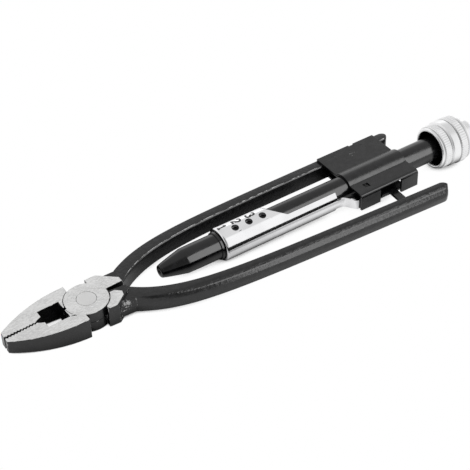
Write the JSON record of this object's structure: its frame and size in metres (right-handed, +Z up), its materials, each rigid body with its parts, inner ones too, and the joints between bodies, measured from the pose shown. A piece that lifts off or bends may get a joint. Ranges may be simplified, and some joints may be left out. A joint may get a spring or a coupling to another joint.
{
  "type": "safety wire pliers",
  "caption": "Lap-jointed pliers with a spiral twist unit between the handles: a pull knob on a twisted spindle spins the tool, and a sliding sleeve latches the handles shut.",
  "frame": {"origin": "on the pivot axis, at the ground underside of the joint", "axes": "+X from the jaws to the knob along the tube, +Y to the handle that carries the tube, +Z up along the pivot"},
  "size_m": [0.2447, 0.0521, 0.0228],
  "materials": {
    "forged_black": "black oxide forging with bright ground jaw faces",
    "bright_steel": "ground",
    "black_gloss": "gloss black",
    "black_satin": "satin black",
    "black_sheet": "satin black sheet",
    "chrome_plate": "polished chrome plate",
    "bright_knob": "bright turned, knurled",
    "brass": "machined"
  },
  "bodies": {
    "half_a": {"handle_a": "forged_black", "pivot_rivet": "bright_steel", "nose_cap": "black_gloss", "nose_pin": "bright_steel", "twist_tube": "black_satin", "friction_ring": "bright_steel", "bracket_top": "black_sheet", "bracket_bottom": "black_sheet", "bracket_rivets": "black_sheet", "drive_nut": "brass", "nut_retainer": "bright_steel"},
    "half_b": {"handle_b": "forged_black", "catch_hook": "black_sheet", "hook_rivets": "black_sheet"},
    "latch": {"latch_sleeve": "chrome_plate"},
    "carriage": {"front_washer": "brass", "rear_washer": "brass"},
    "spindle": {"twist_spindle": "bright_steel", "spindle_stop": "bright_steel", "stop_pin": "bright_steel", "spindle_nut": "bright_steel"},
    "knob": {"knob_shell": "bright_knob", "knob_end_cap": "bright_knob"}
  },
  "joints": [
    {"name": "handle_open", "type": "hinge", "parent": "half_a", "child": "half_b", "pos_m": [0, 0, 0.005], "axis": [0, 0, -1], "range_deg": [-1.2, 24]},
    {"name": "latch_slide", "type": "slide", "parent": "half_a", "child": "latch", "axis": [1, 0, 0], "range_m": [0, 0.005]},
    {"name": "knob_pull", "type": "slide", "parent": "half_a", "child": "carriage", "axis": [1, 0, 0], "range_m": [0, 0.09]},
    {"name": "spindle_turn", "type": "hinge", "parent": "carriage", "child": "spindle", "pos_m": [0.19, 0.0009, 0.0056], "axis": [1, 0, 0], "range_deg": [-1, 773]},
    {"name": "knob_spin", "type": "hinge", "parent": "carriage", "child": "knob", "pos_m": [0.19, 0.0009, 0.0056], "axis": [1, 0, 0], "continuous": true}
  ],
  "couplings": [
    {"joint": "spindle_turn", "follows": "knob_pull", "rad_per_m": 149.6}
  ]
}
